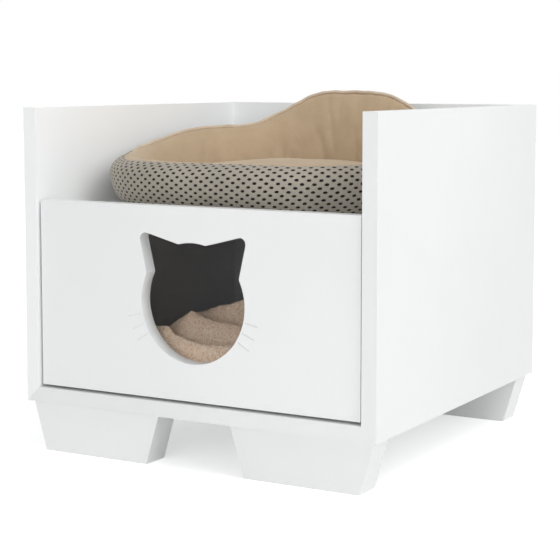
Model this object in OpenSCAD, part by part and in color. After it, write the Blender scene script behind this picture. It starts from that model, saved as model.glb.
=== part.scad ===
// Cat bed with drawer: a white board case on four tapered feet, with a stuffed bed in the open top
// and a drawer below whose front has a cat-head door. Millimetres. The origin is on the floor under
// the middle of the case, X to the right, Y to the back and Z up, so the drawer opens towards -Y.

/* [Case] */
// Width of the case over both side panels
case_w = 500; // [460:1:560]
// Depth of the case from its front edges to its back face
case_d = 500; // [480:1:560]
// Height of the side panels, without the feet
case_h = 377; // [360:1:420]
// Thickness of the case boards
board_t = 19; // [18:0.5:22]
// Height of the shelf's top face above the case's underside
shelf_up = 247; // [240:1:270]
// Gap between the drawer front's back face and the shelf's front edge
shelf_setback = 2; // [1:0.5:6]

/* [Feet] */
// Height of a foot
foot_h = 64; // [50:1:100]
// Width of a foot at its top
foot_top_w = 193; // [170:1:205]
// Width of a foot where it stands on the floor
foot_bottom_w = 155; // [120:1:165]
// Thickness of a foot from front to back
foot_t = 40; // [30:1:60]
// Set-back of a foot from the case's side
foot_side_inset = 5.5; // [2:0.5:15]
// Set-back of a foot from the case's front or back
foot_end_inset = 7; // [2:0.5:20]

/* [Drawer] */
// Set-back of the drawer front's face from the case's front edges
front_recess = 4.5; // [1:0.5:10]
// Gap at each side of the drawer front
front_side_gap = 3.3; // [2:0.1:5]
// Gap under the drawer front
front_bottom_gap = 3.5; // [2:0.1:6]
// Thickness of the drawer front
front_t = 19; // [18:0.5:22]
// Height of the drawer front above the shelf's top face
front_rise = 12.8; // [5:0.1:20]
// Gap between the drawer box and the back panel
box_back_gap = 27.5; // [12:0.5:60]
// Thickness of the drawer box boards
box_t = 12; // [12:0.5:16]
// Gap between the drawer box and the shelf
box_top_gap = 13.5; // [6:0.5:30]
// Height of the drawer box above the drawer front's lower edge
box_up = 12; // [8:1:18]
// Thickness of the drawer floor
floor_t = 6; // [3:0.5:9]
// Height of the drawer floor above the box boards' lower edges
floor_up = 10; // [8:1:20]
// Depth of the grooves that hold the drawer floor
groove_depth = 6; // [4:0.5:8]

/* [Cat door] */
// Radius of the round head
head_r = 74; // [60:1:78]
// Height of the head's centre above the drawer front's lower edge
head_up = 120; // [110:1:126]
// Distance of the ear's corner from the middle, before it is rounded
ear_out = 78.2; // [64:0.1:84]
// Height of the ear's corner above the head's centre, before it is rounded
ear_up = 86.7; // [80:0.1:92]
// Radius that rounds the ear's tip
ear_r = 8; // [4:0.5:10]
// Angle on the head at which the ear's outer side starts
ear_low = 27; // [20:1:34]
// Angle on the head at which the ear's inner side starts
ear_high = 75; // [66:1:80]
// Radius that rounds the board where an ear's side meets the head
notch_r = 6; // [2:0.5:10]
// Width of an engraved whisker
whisker_w = 1.2; // [0.6:0.1:2]
// Depth of an engraved whisker
whisker_depth = 1; // [0.3:0.1:1.5]
// Length of an engraved whisker
whisker_len = 18; // [12:1:30]
// Distance of a whisker's near end from the edge of the door
whisker_gap = 2.5; // [2:0.5:6]

/* [Runners] */
// Closed length of a runner, which is also its travel
runner_len = 400; // [360:1:410]
// Thickness of a closed runner
runner_t = 12.7; // [12.7:0.1:14]
// Height of a runner's cabinet member
runner_h = 45.5; // [43:0.5:50]
// Thickness of the runner's sheet steel
sheet_t = 1.2; // [1:0.1:1.3]
// Diameter of a runner ball
ball_d = 4; // [3.8:0.1:4.2]
// Number of balls in one row
ball_count = 6; // [3:1:9]
// Distance of the end screws from the ends of a runner
runner_screw_end = 37; // [20:1:60]

/* [Fittings] */
// Diameter of the case dowels
dowel_d = 8; // [6:0.5:8]
// Length of the case dowels
dowel_len = 30; // [20:1:36]
// Diameter of the dowels in the mitres
mitre_dowel_d = 6; // [5:0.5:6]
// Depth of a case dowel in the panel that it enters through its face
dowel_short = 11; // [8:1:13]
// Length of the dowels in the mitres
mitre_dowel_len = 17; // [12:1:18]
// Diameter of a case cam lock
cam_d = 15; // [12:0.5:16]
// Thickness of a case cam lock
cam_t = 12.5; // [12:0.1:13.5]
// Distance of a case cam lock's centre from the joint
cam_back = 24; // [20:1:30]
// Diameter of a drawer cam lock
box_cam_d = 12; // [10:0.5:13]
// Thickness of a drawer cam lock
box_cam_t = 9.5; // [9:0.1:10]
// Spacing of the fittings in a joint
fitting_pitch = 32; // [30:1:40]
// Distance of the first fitting from the end of a joint
fitting_end = 50; // [40:1:70]
// Shank diameter of the wood screws
screw_d = 4; // [3.5:0.1:4.5]
// Length of the foot screws
foot_screw_len = 50; // [40:1:60]
// Length of the runner screws in the case
case_screw_len = 15; // [12:1:16]
// Length of the runner screws in the drawer box
box_screw_len = 10; // [8:1:11]
// Length of the screws through the box sides into its back
back_screw_len = 40; // [30:1:50]

/* [Bed] */
// Gap between the bed and each side panel
bed_side_gap = 5; // [2:0.5:20]
// Gap between the bed and the drawer front
bed_front_gap = 5.5; // [3:0.5:20]
// Gap between the bed and the back panel
bed_back_gap = 7; // [2:0.5:20]
// Squareness of the bed's outline, where 2 is an ellipse
bed_square = 2.6; // [2:0.1:4]
// Height of the wall at the front
wall_front_h = 63; // [50:1:80]
// Height of the wall at the sides
wall_side_h = 98; // [80:1:115]
// Height of the wall at the middle of the back
wall_back_h = 144; // [120:1:170]
// Height at which the wall is widest
wall_belly_h = 40; // [25:1:45]
// How far the wall draws in under its widest line
wall_under = 24; // [10:1:30]
// How far the front rim lies inside the wall's widest line
rim_in = 27; // [20:1:30]
// How much further the high back rim leans in
rim_lean = 16; // [0:1:20]
// Thickness of the wall at its base
wall_t = 64; // [55:1:80]
// Height of the pad's edge
pad_edge_h = 38; // [25:1:45]
// Height of the pad's crown in the middle
pad_crown_h = 54; // [40:1:60]
// How far the pad's underside draws in from the wall
pad_under_in = 8; // [2:0.5:16]
// How far the pad's upper edge draws in from the wall
pad_over_in = 5; // [1:0.5:12]
// Diameter of the piping
piping_d = 4.3; // [3:0.1:6]
// Angle from the middle of the back at which the piping ends
piping_end = 118; // [90:1:130]

/* [Blanket] */
// Gap between the blanket and each side of the drawer box
blanket_side_gap = 4; // [2:0.5:20]
// Gap between the blanket and the drawer front
blanket_front_gap = 3; // [2:0.5:20]
// Depth of the blanket as it lies in the drawer
blanket_d = 300; // [240:1:380]
// Thickness of the folded blanket at its edge
blanket_edge = 12; // [8:1:20]
// Width of the rounded edge at the blanket's sides
side_roll = 40; // [20:1:60]
// Width of the rounded edge at the blanket's back
back_roll = 60; // [30:1:80]
// Width of the rounded edge along the drawer front
front_roll = 14; // [8:1:20]
// Height of the fold along the drawer front
fold_h = 27; // [10:1:32]
// Distance of that fold from the blanket's front edge
fold_y = 21; // [16:1:30]
// Half-width of that fold
fold_spread = 15; // [10:1:24]
// Height of the hump behind the fold
hump_h = 48; // [20:1:52]
// Distance of the hump to the left of the middle
hump_left = 60; // [30:1:90]
// Distance of the hump from the blanket's front edge
hump_y = 70; // [50:1:90]
// Half-width of the hump across the drawer
hump_across = 74; // [50:1:90]
// Half-width of the hump along the drawer
hump_along = 34; // [20:1:50]
// Height of the bunched part at the right
bunch_h = 76; // [30:1:80]
// Distance of the bunched part to the right of the middle
bunch_right = 40; // [20:1:80]
// Distance of the bunched part from the blanket's front edge
bunch_y = 124; // [100:1:150]
// Half-width of the bunched part across the drawer
bunch_across = 92; // [60:1:110]
// Half-width of the bunched part along the drawer
bunch_along = 56; // [40:1:80]
// Height of the small waves in the cloth
ripple_h = 7; // [0:0.5:10]

/* [Fits] */
// Radial clearance of dowels, bolts, cams and screws in their holes
pin_fit = 0.05; // [0.02:0.01:0.1]
// Clearance of soft pieces from their neighbours
soft_gap = 0.3; // [0.2:0.1:1]
// Clearance of the drawer floor in its grooves
groove_fit = 0.1; // [0.05:0.05:0.3]
// Sideways clearance of each ball in its race and in its cage
ball_fit = 0.1; // [0.05:0.05:0.2]

/* [Hidden] */
$fn = 32;
// Overshoot of a cut past the face that it opens
cut = 1;

// Case
half_w = case_w / 2;
inner_x = half_w - board_t;
front_y = -case_d / 2;
back_y = case_d / 2;
back_face_y = back_y - board_t;
case_z = foot_h;
bottom_top_z = case_z + board_t;
case_top_z = case_z + case_h;
shelf_top_z = case_z + shelf_up;
shelf_low_z = shelf_top_z - board_t;
shelf_mid_z = shelf_top_z - board_t / 2;

// Drawer front and box
front_face_y = front_y + front_recess;
front_back_y = front_face_y + front_t;
front_low_z = bottom_top_z + front_bottom_gap;
front_top_z = shelf_top_z + front_rise;
front_half_w = inner_x - front_side_gap;
shelf_y = front_back_y + shelf_setback;
box_half_w = inner_x - runner_t;
box_inner_x = box_half_w - box_t;
box_z = front_low_z + box_up;
box_top_z = shelf_low_z - box_top_gap;
box_h = box_top_z - box_z;
box_back_y = back_face_y - box_back_gap;
box_back_face_y = box_back_y - box_t;
floor_z = box_z + floor_up;
floor_top_z = floor_z + floor_t;

// Cat door, in the plane of the drawer front, measured from the head's centre
head_z = front_low_z + head_up;
whisker_angles = [-13, -23, -32.5];
ear_root = 10;
ear_steps = 10;
notch_steps = 6;
notch_root = 3;
notch_cross = 0.1;
head_facets = 96;

// Runner section: u runs from the cabinet side to the drawer side, v is the height above its middle
runner_z = box_z + box_h / 2;
runner_y = shelf_y;
nest_gap = 1;
outer_depth = runner_t - 1.3;
outer_lip = 1.8;
no_lip = 0;
ball_u = 7.4;
outer_ball_v = runner_h / 2 - sheet_t - ball_d / 2 - ball_fit;
middle_u = sheet_t + nest_gap;
middle_end_u = runner_t - 1.9;
middle_half_h = outer_ball_v - ball_d / 2 - ball_fit;
middle_lip_out = 1.5;
middle_lip_in = 1.8;
inner_ball_v = middle_half_h - sheet_t - ball_d / 2 - ball_fit;
inner_u = middle_u + sheet_t + nest_gap;
inner_half_h = inner_ball_v - ball_d / 2 - ball_fit;
inner_lip = 0.9;
cage_t = 0.6;
cage_web_gap = (nest_gap - cage_t) / 2;
cage_rim = 2;
cage_spare = 10;
cage_len = runner_len / 2 - 2 * cage_spare;
cage_from_back = runner_len / 4 + cage_spare;
ball_pitch = cage_len / ball_count;
runner_screws = [runner_screw_end, runner_len / 2, runner_len - runner_screw_end];

// Fittings
screw_head_d = 7.5;
screw_head_h = 2;
screw_tip = 3;
bolt_thread_d = 6;
bolt_thread_len = 11;
bolt_collar_d = 7.6;
bolt_collar_len = 1.5;
bolt_neck_d = 4.5;
bolt_head_d = 6.5;
bolt_head_len = 3;
cam_slot = 7.4;
cam_cross = 1.6;
cam_cross_depth = 1.5;
shelf_fit_y = [shelf_y + fitting_end, back_face_y - fitting_end];
back_fit_z = [bottom_top_z + fitting_end, case_top_z - fitting_end];
box_fit_z = [box_z + box_h * 0.2, box_top_z - box_h * 0.2];
box_dowel_z = [runner_z - box_h * 0.12, runner_z + box_h * 0.12];
box_bolt_neck = 3.5;
box_dowel_d = 6;
box_dowel_len = 24;
foot_mid_x = half_w - foot_side_inset - foot_top_w / 2;
foot_mid_y = back_y - foot_end_inset - foot_t / 2;
foot_screw_out = foot_bottom_w / 4;
mitre_fit_y = [front_y + fitting_end, -fitting_end, fitting_end, back_y - fitting_end];

// Bed
bed_z = shelf_top_z + soft_gap;
bed_half_w = inner_x - bed_side_gap;
bed_front_y = front_back_y + bed_front_gap;
bed_back_y = back_face_y - bed_back_gap;
bed_half_d = (bed_back_y - bed_front_y) / 2;
bed_mid_y = (bed_front_y + bed_back_y) / 2;
bed_around = 64;
bed_step = 360 / bed_around;
rim_side_from = 136;
rim_side_span = 76;
rim_back_from = 49;
rim_back_span = 38;
piping_sides = 6;

// Blanket
blanket_w = 2 * (box_inner_x - blanket_side_gap);
blanket_z = floor_top_z + soft_gap;
blanket_y = front_back_y + blanket_front_gap;
blanket_across = 34;
blanket_along = 24;
// Turns of the small waves in degrees per millimetre
ripple_turns = [2.4, 1.1, 3.1, 1.3];

white = [0.93, 0.93, 0.925];
light_grey = [0.84, 0.84, 0.84];
hardboard = [0.8, 0.8, 0.795];
steel = [0.72, 0.73, 0.75];
zinc = [0.62, 0.62, 0.6];
beech = [0.82, 0.68, 0.48];
dotted = [0.65, 0.61, 0.55];
tan = [0.74, 0.65, 0.53];
fleece = [0.72, 0.62, 0.55];

// Helpers

// The piece as drawn and its mirror image in the middle plane
module both_sides() {
  children();
  mirror([1, 0, 0]) children();
}

// A profile drawn in X and Z, running from y0 to y1
module along_y(y0, y1) {
  translate([0, y1, 0]) rotate([90, 0, 0]) linear_extrude(y1 - y0) children();
}

// A box from its lowest to its highest corner
module block(low, high) {
  translate(low) cube(high - low);
}

// A round bar centred on its own middle
module bar(d, len) {
  cylinder(d = d, h = len, center = true);
}

// Pieces drawn along Z, turned to run towards +X, -X, +Y, or down
module to_right() { rotate([0, 90, 0]) children(); }
module to_left() { rotate([0, -90, 0]) children(); }
module to_back() { rotate([-90, 0, 0]) children(); }

// A countersunk wood screw with its head's face at zero, or with grow its hole
module screw(len, grow = 0) {
  head = screw_head_d / 2 + grow;
  shank = screw_d / 2 + grow;
  rotate_extrude()
    polygon([
      [0, 0], [head, 0], [shank, screw_head_h], [shank, len - screw_tip],
      [grow, len + grow], [0, len + grow]
    ]);
}

// A cam bolt: its thread lies below zero, and its neck and head reach up to the cam lock
module cam_bolt(reach, neck_d = bolt_neck_d, head_d = bolt_head_d) {
  rotate_extrude()
    polygon([
      [0, -bolt_thread_len], [bolt_thread_d / 2, -bolt_thread_len], [bolt_thread_d / 2, 0],
      [bolt_collar_d / 2, 0], [bolt_collar_d / 2, bolt_collar_len],
      [neck_d / 2, bolt_collar_len], [neck_d / 2, reach - bolt_head_len / 2],
      [head_d / 2, reach - bolt_head_len / 2], [head_d / 2, reach + bolt_head_len / 2],
      [0, reach + bolt_head_len / 2]
    ]);
}

// The thread's hole, and the wider bore that the bolt passes on its way to the cam lock
module bolt_thread_hole() {
  translate([0, 0, -bolt_thread_len - pin_fit])
    cylinder(d = bolt_thread_d + 2 * pin_fit, h = bolt_thread_len + pin_fit + cut);
}
module bolt_bore(reach) {
  translate([0, 0, -cut]) cylinder(d = bolt_collar_d + 2 * pin_fit, h = reach + cut);
}

// A cam lock seen from its outer face at zero: a disc with a slot for the bolt's head and a cross
// for the driver. The bolt comes in along +X at bolt_deep below the face.
module cam_lock(d, t, bolt_deep, slot) {
  difference() {
    cylinder(d = d, h = t);
    block([-slot / 2, -slot / 2, bolt_deep - slot / 2], [d, slot / 2, t + cut]);
    for (turn = [0, 90])
      rotate([0, 0, turn])
        block([-d / 4, -cam_cross / 2, -cut], [d / 4, cam_cross / 2, cam_cross_depth]);
  }
}
module cam_hole(d, t) {
  translate([0, 0, -cut]) cylinder(d = d + 2 * pin_fit, h = t + pin_fit + cut);
}

// A dowel and its hole, centred on the joint
module dowel(d, len) {
  bar(d, len);
}
module dowel_hole(d, len) {
  bar(d + 2 * pin_fit, len + 2 * pin_fit);
}

// Places of the fittings, each with +Z along the bolt or dowel, for the left side of the part.
// The right side is the mirror image.

module at_shelf_bolts() {
  for (y = shelf_fit_y) translate([-inner_x, y, shelf_mid_z]) to_right() children();
}
module at_shelf_dowels() {
  for (y = [shelf_fit_y[0] + fitting_pitch, shelf_fit_y[1] - fitting_pitch])
    translate([-inner_x, y, shelf_mid_z]) to_right() children();
}
// Cam locks in the underside of the shelf, with +X of the lock towards the side panel
module at_shelf_cams() {
  for (y = shelf_fit_y)
    translate([-inner_x + cam_back, y, shelf_low_z]) rotate([0, 0, 180]) children();
}
module at_back_bolts() {
  for (z = back_fit_z) translate([-inner_x, back_y - board_t / 2, z]) to_right() children();
}
module at_back_dowels() {
  for (z = [back_fit_z[0] + fitting_pitch, back_fit_z[1] - fitting_pitch])
    translate([-inner_x, back_y - board_t / 2, z]) to_right() children();
}
// Cam locks in the outer face of the back panel
module at_back_cams() {
  for (z = back_fit_z)
    translate([-inner_x + cam_back, back_y, z]) rotate([90, 0, 0]) rotate([0, 0, 180]) children();
}
module at_mitre_dowels() {
  for (y = mitre_fit_y)
    translate([-half_w + board_t / 2, y, case_z + board_t / 2]) rotate([0, -45, 0]) children();
}
// The middle of each foot's top face, for the two left feet
module at_left_feet() {
  for (y = [-foot_mid_y, foot_mid_y]) translate([-foot_mid_x, y, case_z]) children();
}
module at_foot_screws() {
  at_left_feet() for (x = [-foot_screw_out, foot_screw_out])
    translate([x, 0, board_t]) rotate([180, 0, 0]) children();
}
// Runner screws, with +Z away from the runner's middle plane
module at_case_screws() {
  for (s = runner_screws)
    translate([-inner_x + sheet_t, runner_y + s, runner_z]) to_left() children();
}
module at_box_screws() {
  for (s = runner_screws)
    translate([-box_half_w - sheet_t, runner_y + s, runner_z]) to_right() children();
}
module at_box_bolts() {
  for (z = box_fit_z)
    translate([-box_half_w + box_t / 2, front_back_y, z]) to_back() children();
}
module at_box_dowels() {
  for (z = box_dowel_z)
    translate([-box_half_w + box_t / 2, front_back_y, z]) to_back() children();
}
// Cam locks in the inner faces of the box sides, with +X of the lock towards the drawer front
module at_box_cams() {
  for (z = box_fit_z)
    translate([-box_inner_x, front_back_y + cam_back, z]) to_left() rotate([0, 0, -90]) children();
}
module at_back_screws() {
  for (z = box_fit_z)
    translate([-box_half_w, box_back_y - box_t / 2, z]) to_right() children();
}

// Case

module left_side_shape() {
  difference() {
    along_y(front_y, back_y)
      polygon([
        [-half_w, case_z], [-half_w, case_top_z], [-inner_x, case_top_z],
        [-inner_x, bottom_top_z]
      ]);
    at_shelf_bolts() bolt_thread_hole();
    at_shelf_dowels() dowel_hole(dowel_d, dowel_short * 2);
    at_back_bolts() bolt_thread_hole();
    at_back_dowels() dowel_hole(dowel_d, dowel_short * 2);
    at_mitre_dowels() dowel_hole(mitre_dowel_d, mitre_dowel_len);
    at_case_screws() screw(case_screw_len, pin_fit);
  }
}
module left_side_panel() {
  color(white) left_side_shape();
}
module right_side_panel() {
  color(white) mirror([1, 0, 0]) left_side_shape();
}

module bottom_panel() {
  color(white) difference() {
    along_y(front_y, back_y)
      polygon([
        [-half_w, case_z], [half_w, case_z], [inner_x, bottom_top_z], [-inner_x, bottom_top_z]
      ]);
    both_sides() {
      at_mitre_dowels() dowel_hole(mitre_dowel_d, mitre_dowel_len);
      at_foot_screws() screw(foot_screw_len, pin_fit);
      at_left_feet() dowel_hole(dowel_d, dowel_short * 2);
    }
  }
}

module back_panel() {
  color(white) difference() {
    block([-inner_x, back_face_y, bottom_top_z], [inner_x, back_y, case_top_z]);
    both_sides() {
      at_back_bolts() bolt_bore(cam_back);
      at_back_cams() cam_hole(cam_d, cam_t);
      at_back_dowels() dowel_hole(dowel_d, (dowel_len - dowel_short) * 2);
    }
  }
}

module bed_shelf() {
  color(white) difference() {
    block([-inner_x, shelf_y, shelf_low_z], [inner_x, back_face_y, shelf_top_z]);
    both_sides() {
      at_shelf_bolts() bolt_bore(cam_back);
      at_shelf_cams() cam_hole(cam_d, cam_t);
      at_shelf_dowels() dowel_hole(dowel_d, (dowel_len - dowel_short) * 2);
    }
  }
}

// Feet

module foot_shape() {
  difference() {
    along_y(-foot_t / 2, foot_t / 2)
      polygon([
        [-foot_bottom_w / 2, -foot_h], [foot_bottom_w / 2, -foot_h],
        [foot_top_w / 2, 0], [-foot_top_w / 2, 0]
      ]);
    for (x = [-foot_screw_out, foot_screw_out])
      translate([x, 0, board_t]) rotate([180, 0, 0]) screw(foot_screw_len, pin_fit);
    dowel_hole(dowel_d, (dowel_len - dowel_short) * 2);
  }
}
module foot_at(x, y) {
  color(white) translate([x, y, case_z]) foot_shape();
}
module front_left_foot() { foot_at(-foot_mid_x, -foot_mid_y); }
module front_right_foot() { foot_at(foot_mid_x, -foot_mid_y); }
module back_left_foot() { foot_at(-foot_mid_x, foot_mid_y); }
module back_right_foot() { foot_at(foot_mid_x, foot_mid_y); }

module foot_screws() {
  color(steel) both_sides() at_foot_screws() screw(foot_screw_len);
}
module foot_dowels() {
  color(beech) both_sides() at_left_feet() offset_dowel(-1);
}

// Case fittings

// A case dowel that sits short in one board and long in the other: sense 1 is long along +Z
module offset_dowel(sense) {
  translate([0, 0, sense * (dowel_len / 2 - dowel_short)]) dowel(dowel_d, dowel_len);
}
module mitre_dowels() {
  color(beech) both_sides() at_mitre_dowels() dowel(mitre_dowel_d, mitre_dowel_len);
}
module shelf_dowels() {
  color(beech) both_sides() at_shelf_dowels() offset_dowel(1);
}
module shelf_cam_bolts() {
  color(steel) both_sides() at_shelf_bolts() cam_bolt(cam_back);
}
module shelf_cam_locks() {
  color(zinc) both_sides() at_shelf_cams() cam_lock(cam_d, cam_t, board_t / 2, cam_slot);
}
module back_dowels() {
  color(beech) both_sides() at_back_dowels() offset_dowel(1);
}
module back_cam_bolts() {
  color(steel) both_sides() at_back_bolts() cam_bolt(cam_back);
}
module back_cam_locks() {
  color(zinc) both_sides() at_back_cams() cam_lock(cam_d, cam_t, board_t / 2, cam_slot);
}

// Runners. Each shape is drawn for the left side, from its own section.

// A folded channel: its web at web_u, its flanges up to open_u, and lips that turn in or out there
module channel(web_u, open_u, half_h, lip_in, lip_out) {
  low_u = min(web_u, open_u);
  high_u = max(web_u, open_u);
  opens_up = open_u > web_u;
  inside_u = opens_up ? low_u + sheet_t : low_u - cut;
  lip_u = opens_up ? high_u - sheet_t : low_u;
  difference() {
    translate([low_u, -half_h]) square([high_u - low_u, 2 * half_h]);
    translate([inside_u, sheet_t - half_h])
      square([high_u - low_u - sheet_t + cut, 2 * (half_h - sheet_t)]);
  }
  if (lip_in > 0)
    for (v = [half_h - sheet_t - lip_in, sheet_t - half_h])
      translate([lip_u, v]) square([sheet_t, lip_in]);
  if (lip_out > 0)
    for (v = [half_h, -half_h - lip_out])
      translate([lip_u, v]) square([sheet_t, lip_out]);
}

// Draws a section on the left side panel over a stretch of the runner, from its front end
module runner_piece(from, len) {
  translate([-inner_x, 0, runner_z]) along_y(runner_y + from, runner_y + from + len) children();
}

module left_cabinet_member() {
  difference() {
    runner_piece(0, runner_len) channel(0, outer_depth, runner_h / 2, outer_lip, no_lip);
    at_case_screws() screw(case_screw_len, pin_fit);
  }
}
module left_middle_member() {
  runner_piece(0, runner_len)
    channel(middle_u, middle_end_u, middle_half_h, middle_lip_in, middle_lip_out);
}
module left_drawer_member() {
  difference() {
    runner_piece(0, runner_len) channel(runner_t, inner_u, inner_half_h, no_lip, inner_lip);
    at_box_screws() screw(box_screw_len, pin_fit);
  }
}

// A ball cage: a folded strip with a hole for each ball, and its two rows of balls
module cage(web_u, ball_v) {
  cage_y = runner_len - cage_from_back - cage_len;
  difference() {
    runner_piece(cage_y, cage_len) cage_section(web_u, ball_v);
    at_balls(cage_y, ball_v) cylinder(d = ball_d + 2 * ball_fit, h = 4 * cage_t, center = true);
  }
  at_balls(cage_y, ball_v) sphere(d = ball_d, $fn = 24);
}
module cage_section(web_u, ball_v) {
  outer_v = ball_v + cage_t / 2;
  inner_v = ball_v - cage_t / 2;
  difference() {
    translate([web_u, -outer_v]) square([ball_u + cage_rim - web_u, 2 * outer_v]);
    translate([web_u + cage_t, -inner_v]) square([runner_t, 2 * inner_v]);
  }
}
module at_balls(cage_y, ball_v) {
  for (i = [0 : ball_count - 1], side = [-1, 1])
    translate([
      ball_u - inner_x,
      runner_y + cage_y + (i + 0.5) * ball_pitch,
      runner_z + side * ball_v
    ]) children();
}
module left_outer_cage() {
  cage(sheet_t + cage_web_gap, outer_ball_v);
}
module left_inner_cage() {
  cage(middle_u + sheet_t + cage_web_gap, inner_ball_v);
}

module left_runner_cabinet_member() { color(steel) left_cabinet_member(); }
module right_runner_cabinet_member() { color(steel) mirror([1, 0, 0]) left_cabinet_member(); }
module left_runner_middle_member() { color(steel) left_middle_member(); }
module right_runner_middle_member() { color(steel) mirror([1, 0, 0]) left_middle_member(); }
module left_runner_drawer_member() { color(steel) left_drawer_member(); }
module right_runner_drawer_member() { color(steel) mirror([1, 0, 0]) left_drawer_member(); }
module left_runner_outer_cage() { color(zinc) left_outer_cage(); }
module right_runner_outer_cage() { color(zinc) mirror([1, 0, 0]) left_outer_cage(); }
module left_runner_inner_cage() { color(zinc) left_inner_cage(); }
module right_runner_inner_cage() { color(zinc) mirror([1, 0, 0]) left_inner_cage(); }
module runner_cabinet_screws() {
  color(steel) both_sides() at_case_screws() screw(case_screw_len);
}
module runner_drawer_screws() {
  color(steel) both_sides() at_box_screws() screw(box_screw_len);
}

// Drawer

// One ear of the door: two straight sides that leave the round head, and a rounded tip. The sides
// start ear_root inside the head, so that they cross its edge.
module ear() {
  low = head_r * [cos(ear_low), sin(ear_low)];
  high = head_r * [cos(ear_high), sin(ear_high)];
  corner = [ear_out, ear_up];
  to_low = (low - corner) / norm(low - corner);
  to_high = (high - corner) / norm(high - corner);
  half_angle = acos(to_low * to_high) / 2;
  inward = (to_low + to_high) / norm(to_low + to_high);
  centre = corner + ear_r / sin(half_angle) * inward;
  from = atan2(to_low[1], to_low[0]) + 90;
  turn = 180 - 2 * half_angle;
  tip = [
    for (i = [0 : ear_steps])
      centre + ear_r * [cos(from + turn * i / ear_steps), sin(from + turn * i / ear_steps)]
  ];
  polygon(concat([[0, 0], low + ear_root * to_low], tip, [high + ear_root * to_high]));
}
// The rounding of the board at an angle on the head, where the ear's side leaves it. Its circle
// reaches notch_cross past both, so that they cross, and side is 1 above the ear's side and -1
// below it.
module notch(angle, side) {
  root = head_r * [cos(angle), sin(angle)];
  along = ([ear_out, ear_up] - root) / norm([ear_out, ear_up] - root);
  out = side * [-along[1], along[0]];
  reach = notch_r - notch_cross;
  near = root + reach * out;
  b = near * along;
  c = near * near - pow(head_r + reach, 2);
  centre = near + (sqrt(b * b - c) - b) * along;
  from = atan2(-out[1], -out[0]);
  turn = (atan2(-centre[1], -centre[0]) - from + 540) % 360 - 180;
  arc = [
    for (i = [0 : notch_steps])
      centre + notch_r * [cos(from + turn * i / notch_steps), sin(from + turn * i / notch_steps)]
  ];
  inside = 1 - notch_root / head_r;
  polygon(concat([inside * root], arc, [inside * arc[notch_steps]]));
}
module door_outline() {
  circle(r = head_r, $fn = head_facets);
  both_ears() {
    ear();
    notch(ear_low, -1);
    notch(ear_high, 1);
  }
}
module both_ears() {
  children();
  mirror([1, 0]) children();
}
// One whisker beside the door, engraved in the front face
module whisker(angle) {
  rotate([0, -angle, 0])
    block(
      [head_r + whisker_gap, -cut, -whisker_w / 2],
      [head_r + whisker_gap + whisker_len, whisker_depth, whisker_w / 2]
    );
}
module drawer_front() {
  color(white) difference() {
    block([-front_half_w, front_face_y, front_low_z], [front_half_w, front_back_y, front_top_z]);
    translate([0, 0, head_z]) along_y(front_face_y - cut, front_back_y + cut) door_outline();
    translate([0, front_face_y, head_z])
      both_sides() for (angle = whisker_angles) whisker(angle);
    block(
      [-box_inner_x - groove_depth, front_back_y - groove_depth, floor_z - groove_fit],
      [box_inner_x + groove_depth, front_back_y + cut, floor_top_z + groove_fit]
    );
    both_sides() {
      at_box_bolts() bolt_thread_hole();
      at_box_dowels() dowel_hole(box_dowel_d, box_dowel_len);
    }
  }
}

module left_box_side() {
  difference() {
    block([-box_half_w, front_back_y, box_z], [-box_inner_x, box_back_y, box_top_z]);
    block(
      [-box_inner_x - groove_depth, front_back_y - cut, floor_z - groove_fit],
      [-box_inner_x + cut, box_back_y + cut, floor_top_z + groove_fit]
    );
    at_box_bolts() bolt_bore(cam_back);
    at_box_cams() cam_hole(box_cam_d, box_cam_t);
    at_box_dowels() dowel_hole(box_dowel_d, box_dowel_len);
    at_box_screws() screw(box_screw_len, pin_fit);
    at_back_screws() screw(back_screw_len, pin_fit);
  }
}
module drawer_left_side() { color(light_grey) left_box_side(); }
module drawer_right_side() { color(light_grey) mirror([1, 0, 0]) left_box_side(); }

module drawer_back() {
  color(light_grey) difference() {
    block(
      [-box_inner_x, box_back_face_y, box_z], [box_inner_x, box_back_y, box_top_z]
    );
    block(
      [-box_half_w, box_back_face_y - cut, floor_z - groove_fit],
      [box_half_w, box_back_face_y + groove_depth, floor_top_z + groove_fit]
    );
    both_sides() at_back_screws() screw(back_screw_len, pin_fit);
  }
}
module drawer_floor() {
  edge = groove_depth - groove_fit;
  color(hardboard)
    block(
      [-box_inner_x - edge, front_back_y - edge, floor_z],
      [box_inner_x + edge, box_back_face_y + edge, floor_top_z]
    );
}
module drawer_dowels() {
  color(beech) both_sides() at_box_dowels() dowel(box_dowel_d, box_dowel_len);
}
module drawer_cam_bolts() {
  color(steel) both_sides() at_box_bolts() cam_bolt(cam_back, box_bolt_neck);
}
module drawer_cam_locks() {
  color(zinc) both_sides() at_box_cams() cam_lock(box_cam_d, box_cam_t, box_t / 2, cam_slot);
}
module drawer_back_screws() {
  color(steel) both_sides() at_back_screws() screw(back_screw_len);
}

// Soft pieces

function smooth(t) = let (c = max(0, min(1, t))) c * c * (3 - 2 * c);

// The two triangles of a quad
function quad(a, b, c, d) = [[a, b, c], [a, c, d]];

// A point of the bed's outline, drawn in by inset, at angle q from +X
function outline(inset, q) =
  let (c = cos(q), s = sin(q), p = 2 / bed_square)
  [
    (bed_half_w - inset) * sign(c) * pow(abs(c), p),
    (bed_half_d - inset) * sign(s) * pow(abs(s), p)
  ];
function bed_point(inset, z, q) =
  let (p = outline(inset, q)) [p[0], p[1] + bed_mid_y, bed_z + z];

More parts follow.
